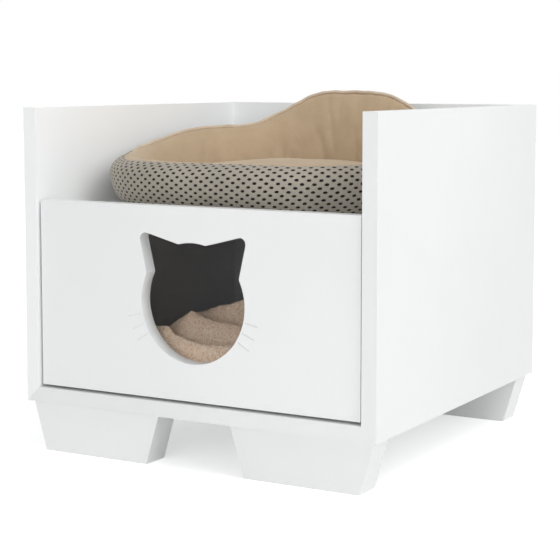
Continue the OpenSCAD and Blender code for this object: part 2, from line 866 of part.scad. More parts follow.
// Height of the wall at angle q: low in front, raised at the sides and highest at the back
function from_back(q) = let (p = outline(0, q)) atan2(abs(p[0]), p[1]);
function wall_h(q) =
  let (turn = from_back(q))
  wall_front_h
    + (wall_side_h - wall_front_h) * smooth((rim_side_from - turn) / rim_side_span)
    + (wall_back_h - wall_side_h) * smooth((rim_back_from - turn) / rim_back_span);
function rim_inset(h) = rim_in + rim_lean * (h - wall_front_h) / (wall_back_h - wall_front_h);

// The wall's section at a height h, as inset and height pairs: up the outside, over the rim and
// down the inside
function wall_section(h) =
  let (lean = rim_inset(h), above = h - wall_belly_h)
  concat(
    [for (a = [-90 : 30 : -30])
      [wall_under * (1 - cos(a)), wall_belly_h * (1 + sin(a))]],
    [for (a = [0 : 22.5 : 90]) [lean * (1 - cos(a)), wall_belly_h + above * sin(a)]],
    [for (t = [0.08, 0.3, 0.6, 1])
      [lean + (wall_t - lean) * sqrt(1 - (1 - t) * (1 - t)), h * (1 - t)]]
  );

// A closed ring of sections joined all round
module ring_solid(rings) {
  n = len(rings);
  m = len(rings[0]);
  faces = [
    for (i = [0 : n - 1], j = [0 : m - 1])
      each quad(
        i * m + j, i * m + (j + 1) % m,
        ((i + 1) % n) * m + (j + 1) % m, ((i + 1) % n) * m + j
      )
  ];
  polyhedron([for (r = rings) each r], faces, convexity = 6);
}

module bed_wall() {
  rings = [
    for (i = [0 : bed_around - 1])
      let (q = (i + 0.5) * bed_step)
      [for (p = wall_section(wall_h(q))) bed_point(p[0], p[1], q)]
  ];
  color(dotted) ring_solid(rings);
}

// The pad: level rings from its underside round its edge to the crown
module bed_pad() {
  inner = min(bed_half_w, bed_half_d) - wall_t;
  rings = [
    [wall_t + pad_under_in, 0],
    [wall_t + soft_gap, pad_edge_h * 0.45],
    [wall_t + pad_over_in, pad_edge_h * 0.9],
    [wall_t + inner * 0.15, pad_edge_h + (pad_crown_h - pad_edge_h) * 0.4],
    [wall_t + inner * 0.4, pad_edge_h + (pad_crown_h - pad_edge_h) * 0.8],
    [wall_t + inner * 0.7, pad_edge_h + (pad_crown_h - pad_edge_h) * 0.97]
  ];
  n = bed_around;
  points = concat(
    [for (r = rings, i = [0 : n - 1]) bed_point(r[0], r[1], (i + 0.5) * bed_step)],
    [[0, bed_mid_y, bed_z], [0, bed_mid_y, bed_z + pad_crown_h]]
  );
  low = len(rings) * n;
  last = (len(rings) - 1) * n;
  faces = concat(
    [for (k = [0 : len(rings) - 2], i = [0 : n - 1])
      each quad(
        k * n + (i + 1) % n, k * n + i, (k + 1) * n + i, (k + 1) * n + (i + 1) % n
      )],
    [for (i = [0 : n - 1]) [low, i, (i + 1) % n]],
    [for (i = [0 : n - 1]) [last + (i + 1) % n, last + i, low + 1]]
  );
  color(tan) polyhedron(points, faces, convexity = 4);
}

// The piping: a round cord on the rim, from one end of the raised wall round the back to the other
module bed_piping() {
  r = piping_d / 2;
  first = ceil((90 - piping_end) / bed_step);
  last = floor((90 + piping_end) / bed_step) - 1;
  path = [
    for (i = [first : last])
      let (q = (i + 0.5) * bed_step, h = wall_h(q))
      bed_point(rim_inset(h), h + r + soft_gap, q)
  ];
  m = piping_sides;
  n = len(path);
  points = [
    for (i = [0 : n - 1])
      let (
        a = path[max(i - 1, 0)],
        b = path[min(i + 1, n - 1)],
        along = (b - a) / norm(b - a),
        side = cross(along, [0, 0, 1]) / norm(cross(along, [0, 0, 1])),
        up = cross(side, along)
      )
      for (j = [0 : m - 1]) path[i] + r * (cos(360 * j / m) * side + sin(360 * j / m) * up)
  ];
  faces = concat(
    [for (i = [0 : n - 2], j = [0 : m - 1])
      each quad(
        i * m + j, i * m + (j + 1) % m, (i + 1) * m + (j + 1) % m, (i + 1) * m + j
      )],
    [[for (j = [m - 1 : -1 : 0]) j]],
    [[for (j = [0 : m - 1]) (n - 1) * m + j]]
  );
  color(tan) polyhedron(points, faces, convexity = 4);
}

// A soft mound of one height around a place
function mound(height, p, at, spread) =
  height * exp(-pow((p[0] - at[0]) / spread[0], 2) - pow((p[1] - at[1]) / spread[1], 2));

// The blanket's top above its underside, with p from the middle and from its front edge
function blanket_top(p) =
  let (
    side = (blanket_w / 2 - abs(p[0])) / side_roll,
    back = (blanket_d - p[1]) / back_roll,
    front = p[1] / front_roll,
    ripple = sin(ripple_turns[0] * p[1] + ripple_turns[1] * p[0])
      + cos(ripple_turns[2] * p[0] - ripple_turns[3] * p[1])
  )
  blanket_edge
    + smooth(side) * smooth(back) * smooth(front) * (
      mound(fold_h, p, [p[0], fold_y], [1, fold_spread])
      + mound(hump_h, p, [-hump_left, hump_y], [hump_across, hump_along])
      + mound(bunch_h, p, [bunch_right, bunch_y], [bunch_across, bunch_along])
      + ripple_h * (2 + ripple) / 4
    );
module blanket() {
  nx = blanket_across;
  ny = blanket_along;
  row = nx + 1;
  function at(i, j) = [blanket_w * (i / nx - 0.5), blanket_d * j / ny];
  top = [
    for (j = [0 : ny], i = [0 : nx])
      let (p = at(i, j)) [p[0], blanket_y + p[1], blanket_z + blanket_top(p)]
  ];
  rim = concat(
    [for (i = [0 : nx - 1]) i],
    [for (j = [0 : ny - 1]) j * row + nx],
    [for (i = [nx : -1 : 1]) ny * row + i],
    [for (j = [ny : -1 : 1]) j * row]
  );
  low = [for (k = rim) [top[k][0], top[k][1], blanket_z]];
  base = len(top);
  n = len(rim);
  points = concat(top, low, [[0, blanket_y + blanket_d / 2, blanket_z]]);
  faces = concat(
    [for (j = [0 : ny - 1], i = [0 : nx - 1])
      each quad(
        j * row + i, (j + 1) * row + i, (j + 1) * row + i + 1, j * row + i + 1
      )],
    [for (k = [0 : n - 1])
      each quad(rim[k], rim[(k + 1) % n], base + (k + 1) % n, base + k)],
    [for (k = [0 : n - 1]) [base + k, base + (k + 1) % n, base + n]]
  );
  color(fleece) polyhedron(points, faces, convexity = 6);
}

left_side_panel();
right_side_panel();
bottom_panel();
back_panel();
bed_shelf();
front_left_foot();
front_right_foot();
back_left_foot();
back_right_foot();
foot_screws();
foot_dowels();
mitre_dowels();
shelf_dowels();
shelf_cam_bolts();
shelf_cam_locks();
back_dowels();
back_cam_bolts();
back_cam_locks();
left_runner_cabinet_member();
right_runner_cabinet_member();
runner_cabinet_screws();
left_runner_outer_cage();
right_runner_outer_cage();
left_runner_middle_member();
right_runner_middle_member();
left_runner_inner_cage();
right_runner_inner_cage();
left_runner_drawer_member();
right_runner_drawer_member();
runner_drawer_screws();
drawer_front();
drawer_left_side();
drawer_right_side();
drawer_back();
drawer_floor();
drawer_dowels();
drawer_cam_bolts();
drawer_cam_locks();
drawer_back_screws();
blanket();
bed_wall();
bed_pad();
bed_piping();
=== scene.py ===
"""Looks of the cat bed with drawer: materials for every board and fitting, and the soft goods
as cloth forms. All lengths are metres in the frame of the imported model: the origin is on the
floor under the case, X to the right, Y to the back and Z up."""

import math

import bpy
import numpy as np
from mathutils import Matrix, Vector, noise


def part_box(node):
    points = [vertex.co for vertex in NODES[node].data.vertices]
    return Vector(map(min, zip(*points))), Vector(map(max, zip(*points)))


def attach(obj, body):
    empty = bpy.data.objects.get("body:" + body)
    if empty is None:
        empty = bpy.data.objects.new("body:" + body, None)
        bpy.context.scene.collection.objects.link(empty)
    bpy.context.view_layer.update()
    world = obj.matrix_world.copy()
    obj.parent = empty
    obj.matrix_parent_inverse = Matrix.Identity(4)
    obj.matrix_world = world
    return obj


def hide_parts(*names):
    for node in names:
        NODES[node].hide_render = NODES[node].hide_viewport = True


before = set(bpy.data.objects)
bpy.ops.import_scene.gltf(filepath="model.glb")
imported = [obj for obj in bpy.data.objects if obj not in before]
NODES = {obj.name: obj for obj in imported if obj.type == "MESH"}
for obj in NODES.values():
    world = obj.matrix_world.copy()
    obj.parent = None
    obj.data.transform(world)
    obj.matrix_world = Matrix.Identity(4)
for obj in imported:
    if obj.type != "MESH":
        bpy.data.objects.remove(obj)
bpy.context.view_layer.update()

# White boards by material. The first is the plain board; the other two carry painted light and
# painted shade, their tone lifted or lowered to stand in for how the light falls on those boards.
# Each material's number is how many sRGB steps it is paler than the plain one.
WHITE_BOARDS = {
    "white_board": (0, ("bed_shelf", "front_left_foot", "back_left_foot", "back_right_foot")),
    "white_painted_light": (8, ("left_side_panel", "back_panel")),
    "white_painted_shade": (-5, ("right_side_panel", "bottom_panel", "front_right_foot")),
}
GREY_BOARDS = ("drawer_left_side", "drawer_right_side")

# How wide the boards' edges are softened, which boards have finer edges, the angle in degrees
# from which an edge is softened, and how close vertices are joined before that
EDGE_WIDTH = 0.0006
INNER_BOARDS = ("back_panel", "bed_shelf", "drawer_left_side", "drawer_right_side", "drawer_back")
INNER_EDGE_WIDTH = 0.0003
EDGE_ANGLE = 40
WELD_WITHIN = 0.00001

# The whiskers cut into the drawer front: how far they lie from the door's middle, and the depths
# between which their grooves are painted grey as painted shade, with how softly that ends
FRONT_FACE_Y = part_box("drawer_front")[0].y
DOOR_MIDDLE_Z = 0.2065
WHISKERS_FROM = 0.0758
WHISKERS_TO = 0.0955
GROOVE_SHADE_FROM = 0.0001
GROOVE_SHADE_TO = 0.0012
GROOVE_SHADE_FADE = 0.0002

# How far a metal's roughness swings to both sides
METAL_WEAR = 0.08

# Dots of the bed's outer fabric: the repeat of their staggered rows, one dot's size, how far
# the rows lean, and the share of a dot's size at which its edge starts and ends
DOT_CELL_W = 0.0147
DOT_CELL_H = 0.0099
DOT_W = 0.0053
DOT_H = 0.0034
DOT_LEAN = 0.17
DOT_EDGE_FROM = 0.45
DOT_EDGE_TO = 0.55

# Light: how strong the world shines on the object, and each lamp's name, place, aim, side
# and watts
WORLD_FILL = 0.48
CASE_MIDDLE = (0, 0, 0.22)
BED_MIDDLE = (0, 0, 0.3)
LAMPS = (
    ("key", (3.2, -0.9, 1.6), CASE_MIDDLE, 2.2, 30),
    ("fill", (0.8, -3.4, 0.75), CASE_MIDDLE, 2.2, 36),
    ("near", (1.0, -0.3, 1.7), BED_MIDDLE, 1.0, 9),
    ("behind", (-2.4, 2.4, 1.3), CASE_MIDDLE, 2.2, 14),
)

# Floor: half its side, and how much it glows by itself near the object and far from it
FLOOR_HALF = 9
FLOOR_NEAR = 0.7
FLOOR_FAR = 3.0
FLOOR_GLOW_NEAR = 0.45
FLOOR_GLOW_FAR = 0.62

# Camera: its place, how far it looks down and turns to the left in degrees, its lens and
# sensor width in millimetres, its shift, and the nearest and farthest that it sees
CAMERA_PLACE = (1.0118, -1.8088, 0.4797)
CAMERA_DOWN = 5.412
CAMERA_TURN = 29.641
CAMERA_LENS = 99.99
CAMERA_SENSOR = 36
CAMERA_SHIFT = -0.1
CAMERA_NEAR = 0.05
CAMERA_FAR = 60

# Cloth that is filled by simulation, and how far that may move a vertex
CLOTH_QUALITY = 6
CLOTH_MASS = 0.25
CLOTH_STIFFNESS = 12.0
CLOTH_SHEAR = 6.0
CLOTH_BENDING = 0.6
CLOTH_FRAMES = 20
PUFF_CAP = 0.005


# Colours and node helpers

def srgb(r, g, b):
    """The linear colour of an sRGB colour that is written with 0 to 255."""
    def lin(c):
        c /= 255
        return c / 12.92 if c <= 0.04045 else ((c + 0.055) / 1.055) ** 2.4
    return (lin(r), lin(g), lin(b), 1.0)


class Shade:
    """A material whose nodes are added one at a time. An input is a number, a colour or a
    socket."""

    def __init__(self, name, rough, metallic=0.0, **fixed):
        self.mat = bpy.data.materials.new(name)
        self.mat.use_nodes = True
        self.tree = self.mat.node_tree
        self.bsdf = self.tree.nodes["Principled BSDF"]
        self.place = self.node("ShaderNodeTexCoord").outputs["Object"]
        self.put(self.bsdf, "Roughness", rough)
        self.put(self.bsdf, "Metallic", metallic)
        for key, value in fixed.items():
            self.put(self.bsdf, key.replace("_", " "), value)

    def node(self, kind, **settings):
        made = self.tree.nodes.new(kind)
        for key, value in settings.items():
            setattr(made, key, value)
        return made

    def put(self, node, key, value):
        socket = node.inputs[key]
        if isinstance(value, bpy.types.NodeSocket):
            self.tree.links.new(value, socket)
        else:
            socket.default_value = value

    def math(self, operation, a, b):
        made = self.node("ShaderNodeMath", operation=operation)
        self.put(made, 0, a)
        self.put(made, 1, b)
        return made.outputs[0]

    def vector(self, operation, a, b=(0.0, 0.0, 0.0), c=(0.0, 0.0, 0.0)):
        made = self.node("ShaderNodeVectorMath", operation=operation)
        for i, value in enumerate((a, b, c)):
            self.put(made, i, value)
        return made.outputs["Value" if operation in ("LENGTH", "DOT_PRODUCT") else "Vector"]

    def uv(self, name):
        return self.node("ShaderNodeUVMap", uv_map=name).outputs[0]

    def noise_node(self, scale, detail, place, rough, distortion):
        made = self.node("ShaderNodeTexNoise")
        self.put(made, "Vector", place or self.place)
        for key, value in (("Scale", scale), ("Detail", detail), ("Roughness", rough),
                           ("Distortion", distortion)):
            self.put(made, key, value)
        return made

    def noise(self, scale, detail=2.0, place=None, rough=0.5, distortion=0.0):
        return self.noise_node(scale, detail, place, rough, distortion).outputs[0]

    def warped(self, amount, scale, place=None):
        """Coordinates pushed about by noise, so that strands curl and rows drift."""
        push = self.noise_node(scale, 2.0, place, 0.5, 0.0).outputs["Color"]
        return self.vector("MULTIPLY_ADD", push, (amount, amount, amount), place or self.place)

    def span(self, value, low, high, to_low=0.0, to_high=1.0):
        """value mapped from low..high to to_low..to_high, and clamped."""
        made = self.node("ShaderNodeMapRange")
        for i, v in enumerate((value, low, high, to_low, to_high)):
            self.put(made, i, v)
        return made.outputs[0]

    def between(self, value, low, high, fade):
        """1 where value lies between low and high, with a fade past each, and 0 elsewhere."""
        rise = self.span(value, low, low + fade)
        return self.math("MULTIPLY", rise, self.span(value, high, high + fade, 1.0, 0.0))

    def mix(self, factor, a, b):
        made = self.node("ShaderNodeMix", data_type="RGBA")
        for i, value in ((0, factor), (6, a), (7, b)):
            self.put(made, i, value)
        return made.outputs[2]

    def bump(self, height, depth, strength):
        """A bump of a height from 0 to 1 that stands for depth metres."""
        made = self.node("ShaderNodeBump")
        self.put(made, "Height", height)
        self.put(made, "Distance", depth)
        self.put(made, "Strength", strength)
        return made.outputs[0]

    def finish(self, colour, rough=None, normal=None):
        for key, value in (("Base Color", colour), ("Roughness", rough), ("Normal", normal)):
            if value is not None:
                self.put(self.bsdf, key, value)
        return self.mat


# Materials

def white_board(name, painted_light_steps=0, paint_groove_shade=False):
    """White melamine board: a faint orange peel, and a tone that drifts a little. Its whole tone
    can be lifted as painted light or lowered as painted shade, and the whiskers' grooves can be
    painted grey inside as painted shade."""
    s = Shade(name, rough=0.42, Specular_IOR_Level=0.45)
    drift = s.noise(3.0, 3.0)
    # The step count lifts or lowers the whole tone: painted light on the paler boards, painted
    # shade on the darker ones
    dark = srgb(236 + painted_light_steps, 238 + painted_light_steps, 238 + painted_light_steps)
    light = srgb(240 + painted_light_steps, 241 + painted_light_steps, 241 + painted_light_steps)
    colour = s.mix(s.span(drift, 0.35, 0.65), dark, light)
    if paint_groove_shade:
        # Painted shade in the whiskers' grooves: faces a little below the front face, within the
        # whiskers' ring, are painted grey
        at = s.vector("SUBTRACT", s.place, (0.0, FRONT_FACE_Y, DOOR_MIDDLE_Z))
        reach = s.vector("LENGTH", s.vector("MULTIPLY", at, (1.0, 0.0, 1.0)))
        deep = s.vector("DOT_PRODUCT", at, (0.0, 1.0, 0.0))
        groove_shade_mask = s.math("MULTIPLY", s.between(deep, GROOVE_SHADE_FROM, GROOVE_SHADE_TO, GROOVE_SHADE_FADE),
                        s.between(reach, WHISKERS_FROM, WHISKERS_TO, GROOVE_SHADE_FADE))
        colour = s.mix(groove_shade_mask, colour, srgb(232, 232, 232))
    rough = s.span(s.noise(60.0, 3.0), 0.3, 0.7, 0.38, 0.46)
    peel = s.bump(s.noise(650.0, 1.0), 0.00003, 0.5)
    return s.finish(colour, rough, peel)


def grey_board(name, dark, light):
    """Light grey melamine with a fine embossed pore along the board."""
    s = Shade(name, rough=0.55, Specular_IOR_Level=0.4)
    grain = s.noise(1.0, 5.0, s.vector("MULTIPLY", s.place, (60.0, 60.0, 900.0)), 0.6)
    drift = s.noise(9.0, 3.0)
    colour = s.mix(s.span(drift, 0.3, 0.7), dark, light)
    colour = s.mix(s.span(grain, 0.55, 0.75, 0.0, 0.25), colour, srgb(200, 200, 200))
    return s.finish(colour, s.span(grain, 0.3, 0.7, 0.48, 0.62), s.bump(grain, 0.00012, 0.5))


def grey_hardboard():
    """Painted hardboard: matt, with matted fibres that show through."""
    s = Shade("grey_hardboard", rough=0.7, Specular_IOR_Level=0.3)
    fibre = s.noise(260.0, 6.0, rough=0.7, distortion=1.2)
    colour = s.mix(s.span(fibre, 0.35, 0.65), srgb(200, 199, 197), srgb(212, 211, 209))
    return s.finish(colour, s.span(fibre, 0.3, 0.7, 0.62, 0.78), s.bump(fibre, 0.0002, 0.4))


def dowel_wood():
    """Beech dowels with a fine grain."""
    s = Shade("dowel_wood", rough=0.6)
    grain = s.noise(1.0, 4.0, s.vector("MULTIPLY", s.place, (150.0, 900.0, 900.0)), 0.6)
    colour = s.mix(s.span(grain, 0.3, 0.7), srgb(205, 170, 120), srgb(228, 198, 150))
    return s.finish(colour, None, s.bump(grain, 0.0001, 0.5))


def metal(name, tone, rough, streaks):
    """Bare or plated metal: streaks is how fine the grain is along each axis."""
    s = Shade(name, rough=rough, metallic=1.0)
    grain = s.noise(1.0, 4.0, s.vector("MULTIPLY", s.place, streaks), 0.6)
    patch = s.noise(70.0, 3.0)
    light = tuple(min(1.0, c * 1.12) for c in tone[:3]) + (1.0,)
    colour = s.mix(s.span(patch, 0.3, 0.7), tone, light)
    return s.finish(colour, s.span(grain, 0.25, 0.75, rough - METAL_WEAR, rough + METAL_WEAR),
                    s.bump(grain, 0.00005, 0.35))


def fleece():
    """Curly fleece: small curled strands, with painted shade: the colour is darker where the
    curls lie low between them, and paler at their tips.
    """
    s = Shade("fleece", rough=0.95, Specular_IOR_Level=0.15, Sheen_Weight=0.5,
              Sheen_Roughness=0.55, Sheen_Tint=srgb(255, 238, 224))
    curl = s.noise(330.0, 3.0, s.warped(0.0016, 240.0), 0.6, distortion=1.6)
    fuzz = s.noise(1100.0, 2.0, rough=0.6)
    height = s.math("ADD", s.math("MULTIPLY", curl, 0.75), s.math("MULTIPLY", fuzz, 0.25))
    patch = s.noise(24.0, 3.0)
    base = s.mix(s.span(patch, 0.3, 0.7), srgb(253, 227, 203), srgb(255, 237, 215))
    # Painted shade: the colour darkens where the curl height is low, between the strands
    colour = s.mix(s.span(height, 0.38, 0.54), srgb(226, 180, 143), base)
    return s.finish(colour, None, s.bump(s.span(height, 0.35, 0.65), 0.0013, 0.9))


def plush(name, dark, light):
    """Short pile: soft, with brushed patches that catch the light differently."""
    s = Shade(name, rough=0.9, Specular_IOR_Level=0.2, Sheen_Weight=0.35,
              Sheen_Roughness=0.5, Sheen_Tint=srgb(255, 244, 228))
    patch = s.noise(30.0, 4.0, rough=0.6)
    pile = s.noise(900.0, 4.0, rough=0.75)
    colour = s.mix(s.span(patch, 0.3, 0.7), dark, light)
    colour = s.mix(s.span(pile, 0.3, 0.7, 0.0, 0.3), colour, srgb(128, 107, 84))
    return s.finish(colour, None, s.bump(pile, 0.0006, 0.7))


def dotted_fabric():
    """Knitted fabric with staggered dark oval dots that lie a little deeper than the cloth.
    The weave map holds metres along the wall and up it."""
    s = Shade("dotted_fabric", rough=0.85, Specular_IOR_Level=0.25, Sheen_Weight=0.2,
              Sheen_Roughness=0.5, Sheen_Tint=srgb(250, 245, 235))
    weave = s.uv("weave")
    shift = s.warped(0.0022, 28.0, weave)
    across = DOT_CELL_W / DOT_W
    up = DOT_CELL_H / DOT_H
    dots = []
    for stagger in (0.0, 0.5):
        cell = s.vector("MULTIPLY_ADD", shift, (1 / DOT_CELL_W, 1 / DOT_CELL_H, 0.0),
                        (stagger, stagger, 0.0))
        part = s.vector("FRACTION", cell)
        off = s.vector("MULTIPLY_ADD", part, (across, up, 0.0), (-across / 2, -up / 2, 0.0))
        reach = s.vector("LENGTH", off)
        dots.append(s.span(reach, DOT_EDGE_FROM, DOT_EDGE_TO, 1.0, 0.0))
    dot = s.math("MAXIMUM", *dots)
    knit = s.noise(1600.0, 2.0, weave)
    patch = s.noise(22.0, 3.0)
    cloth = s.mix(s.span(patch, 0.3, 0.7), srgb(160, 153, 142), srgb(176, 169, 157))
    cloth = s.mix(s.span(knit, 0.35, 0.65, 0.0, 0.3), cloth, srgb(142, 134, 122))
    colour = s.mix(dot, cloth, srgb(12, 11, 11))
    height = s.math("SUBTRACT", s.math("MULTIPLY", knit, 0.35), dot)
    return s.finish(colour, None, s.bump(height, 0.0006, 0.9))


def piping_cloth():
    """Woven tape round the piping cord, cut on the bias."""
    s = Shade("tan_piping", rough=0.8, Specular_IOR_Level=0.3, Sheen_Weight=0.2,
              Sheen_Roughness=0.5)
    bias = s.node("ShaderNodeTexWave", wave_type="BANDS", bands_direction="DIAGONAL")
    s.put(bias, "Vector", s.uv("weave"))
    s.put(bias, "Scale", 420.0)
    s.put(bias, "Distortion", 1.5)
    s.put(bias, "Detail", 1.0)
    thread = bias.outputs["Fac"]
    patch = s.noise(40.0, 3.0)
    colour = s.mix(s.span(patch, 0.3, 0.7), srgb(202, 184, 162), srgb(218, 202, 182))
    colour = s.mix(s.span(thread, 0.0, 1.0, 0.25, 0.0), colour, srgb(160, 142, 120))
    return s.finish(colour, None, s.bump(thread, 0.0002, 0.5))


# Mesh helpers

def make_mesh(name, points, faces):
    """A smooth piece in the scene, made of points and faces."""
    mesh = bpy.data.meshes.new(name)
    mesh.from_pydata([tuple(p) for p in points], [], [tuple(f) for f in faces])
    mesh.validate()
    mesh.polygons.foreach_set("use_smooth", [True] * len(mesh.polygons))
    piece = bpy.data.objects.new(name, mesh)
    bpy.context.scene.collection.objects.link(piece)
    return piece


def corner_map(piece, name, values):
    """A map with one value for each face corner, as two lengths in metres."""
    layer = piece.data.uv_layers.new(name=name)
    layer.data.foreach_set("uv", np.asarray(values, np.float32).ravel())


def coordinates(piece):
    co = np.empty(len(piece.data.vertices) * 3)
    piece.data.vertices.foreach_get("co", co)
    return co.reshape(-1, 3)


def set_coordinates(piece, co):
    piece.data.vertices.foreach_set("co", np.asarray(co, np.float32).ravel())
    piece.data.update()


def normals(piece):
    no = np.empty(len(piece.data.vertices) * 3)
    piece.data.vertex_normals.foreach_get("vector", no)
    return no.reshape(-1, 3)


def apply_modifier(piece, modifier):
    for other in bpy.context.selected_objects:
        other.select_set(False)
    bpy.context.view_layer.objects.active = piece
    piece.select_set(True)
    bpy.ops.object.modifier_apply(modifier=modifier.name)


def subdivide(piece):
    modifier = piece.modifiers.new("smooth", "SUBSURF")
    modifier.levels = modifier.render_levels = 1
    apply_modifier(piece, modifier)


def remesh(piece, voxel):
    modifier = piece.modifiers.new("even", "REMESH")
    modifier.mode = "VOXEL"
    modifier.voxel_size = voxel
    modifier.use_smooth_shade = True
    apply_modifier(piece, modifier)


def puff(piece, pressure, held):
    start = coordinates(piece)
    group = piece.vertex_groups.new(name="held")
    for i, weight in enumerate(held):
        if weight > 0:
            group.add([i], float(weight), "REPLACE")
    cloth = piece.modifiers.new("fill", "CLOTH")
    use = cloth.settings
    use.quality = CLOTH_QUALITY
    use.mass = CLOTH_MASS
    use.tension_stiffness = CLOTH_STIFFNESS
    use.compression_stiffness = CLOTH_STIFFNESS
    use.shear_stiffness = CLOTH_SHEAR
    use.bending_stiffness = CLOTH_BENDING
    use.use_pressure = True
    use.uniform_pressure_force = pressure
    use.effector_weights.gravity = 0
    use.vertex_group_mass = "held"
    cloth.collision_settings.use_collision = False
    cloth.point_cache.frame_start = 1
    cloth.point_cache.frame_end = CLOTH_FRAMES
    scene = bpy.context.scene
    for number in range(1, CLOTH_FRAMES + 1):
        scene.frame_set(number)
    apply_modifier(piece, cloth)
    scene.frame_set(1)
    moved = coordinates(piece) - start
    length = np.linalg.norm(moved, axis=1, keepdims=True)
    set_coordinates(piece, start + moved * np.minimum(1, PUFF_CAP / np.maximum(length, 1e-9)))


def noise_at(points, scale, seed):
    """Smooth noise, about -1 to 1, at each point."""
    shift = Vector((seed * 7.31, seed * 3.17, seed * 5.53))
    return np.array([noise.noise(Vector(p) * scale + shift) for p in points])


def layered_noise(points, layers):
    """The sum of layers of noise, each with its scale, seed and height."""
    return sum(noise_at(points, scale, seed) * height for scale, seed, height in layers)


def smooth_step(t):
    """0 to 1 as t goes from 0 to 1, with a soft start and end."""
    t = np.clip(t, 0, 1)
    return t * t * (3 - 2 * t)


def bell(x, middle, width):
    """1 at the middle, and less the further x is from it."""
    return np.exp(-((x - middle) / width) ** 2)


def grid_faces(columns, rows, closed_columns=False, closed_rows=False):
    """Quads of a grid whose vertices are numbered row by row within each column."""
    faces = []
    for i in range(columns if closed_columns else columns - 1):
        for j in range(rows if closed_rows else rows - 1):
            n = (i + 1) % columns
            k = (j + 1) % rows
            faces.append((i * rows + j, n * rows + j, n * rows + k, i * rows + k))
    return faces


# Bed, with turns in degrees from the middle of the back

BED_LOW, BED_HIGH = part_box("bed_wall")
BED_Z = BED_LOW.z
BED_HALF_W = (BED_HIGH.x - BED_LOW.x) / 2
BED_HALF_D = (BED_HIGH.y - BED_LOW.y) / 2
BED_MID_Y = (BED_HIGH.y + BED_LOW.y) / 2

# How square the outline is: 2 is an ellipse
BED_SQUARE = 2.6

# The wall's heights, and the turns from which and to which it rises to the next one
WALL_FRONT_H = 0.065
WALL_SIDE_H = 0.098
WALL_BACK_H = 0.147
SIDE_RISE_FROM = 136
SIDE_RISE_TO = 60
BACK_RISE_FROM = 50
BACK_RISE_TO = 12

# The wall's section: where it is widest, how far it draws in below and above that and with
# its height, and its thickness at the foot
BELLY_H = 0.045
UNDER = 0.026
RIM_IN = 0.027
RIM_LEAN = 0.016
WALL_T = 0.064

# The seam's angle from the belly in degrees, at the sides and in front, the turns over which
# it goes down to the one and up to the other, and how far the seam is drawn in
SEAM_SIDE = 70
SEAM_FRONT = 80
SEAM_DOWN_FROM = 92
SEAM_DOWN_TO = 122
SEAM_UP_FROM = 140
SEAM_UP_TO = 180
SEAM_DEPTH = 0.0016

# The piping: its radius, how far its middle lies above the seam and below it at the ends, the
# turn at which it ends, the points that its ends take to tuck in, and the sides of the cord
PIPING_R = 0.0024
PIPING_UP = 0.0019
PIPING_TUCKED = 0.002
PIPING_END = 118
PIPING_TUCK = 14
CORD_SIDES = 12

# Vertices round the wall, and the rows of its outside, its inside and its underside
WALL_AROUND = 288
ROWS_OUT = 34
ROWS_IN = 28
ROWS_UNDER = 5
WALL_ROWS = ROWS_OUT + ROWS_IN + ROWS_UNDER
SEAM_ROW = ROWS_OUT - 1

# The stuffing: the scale, seed and height of each layer of noise, over how many rows and from
# and to which turn the seam puckers, how far the skin starts inside the section, and the
# pressure that fills it
WALL_LUMPS = ((22.0, 1, 0.0012), (60.0, 2, 0.0005))
PUCKER = ((75.0, 5, 0.0016),)
PUCKER_ROWS = 5.0
PUCKER_FROM = 138
PUCKER_TO = 78
WALL_SLACK = 0.001
WALL_PRESSURE = 3.0


def outline(inset, angle):
    """The bed's outline drawn in by inset, at an angle in radians from +X."""
    across = np.cos(angle)
    back = np.sin(angle)
    power = 2 / BED_SQUARE
    return ((BED_HALF_W - inset) * np.sign(across) * np.abs(across) ** power,
            (BED_HALF_D - inset) * np.sign(back) * np.abs(back) ** power)


def even_angles(count):
    """Angles round the outline that lie the same length apart, from the middle of the back,
    with the length up to each and in all."""
    angles = np.linspace(math.pi / 2, math.pi * 2.5, 20001)
    x, y = outline(0, angles)
    run = np.concatenate([[0], np.cumsum(np.hypot(np.diff(x), np.diff(y)))])
    at = np.arange(count) * run[-1] / count
    return np.interp(at, run, angles), at, run[-1]


def turn_from_back(angle):
    """Degrees from the middle of the back, to either side."""
    x, y = outline(0, angle)
    return np.degrees(np.arctan2(np.abs(x), y))


def wall_height(turn):
    """The rim's height above the bed's underside."""
    to_side = smooth_step((SIDE_RISE_FROM - turn) / (SIDE_RISE_FROM - SIDE_RISE_TO))
    to_back = smooth_step((BACK_RISE_FROM - turn) / (BACK_RISE_FROM - BACK_RISE_TO))
    return (WALL_FRONT_H + (WALL_SIDE_H - WALL_FRONT_H) * to_side
            + (WALL_BACK_H - WALL_SIDE_H) * to_back)


def seam_angle(turn):
    """Where the two fabrics meet, on the quarter turn from the belly to the rim: on the rim
    round the raised part, lower on the outer shoulder at the sides, and higher in front."""
    down = smooth_step((turn - SEAM_DOWN_FROM) / (SEAM_DOWN_TO - SEAM_DOWN_FROM))
    up = smooth_step((turn - SEAM_UP_FROM) / (SEAM_UP_TO - SEAM_UP_FROM))
    return math.radians(90 - float((90 - SEAM_SIDE) * down)
                        + float((SEAM_FRONT - SEAM_SIDE) * up))


def spread(points, count):
    """Points along a line, resampled the same length apart, and the line's length."""
    points = np.asarray(points)
    run = np.concatenate([[0], np.cumsum(np.hypot(*np.diff(points, axis=0).T))])
    at = np.linspace(0, run[-1], count)
    return np.stack([np.interp(at, run, points[:, k]) for k in (0, 1)], 1), run[-1]


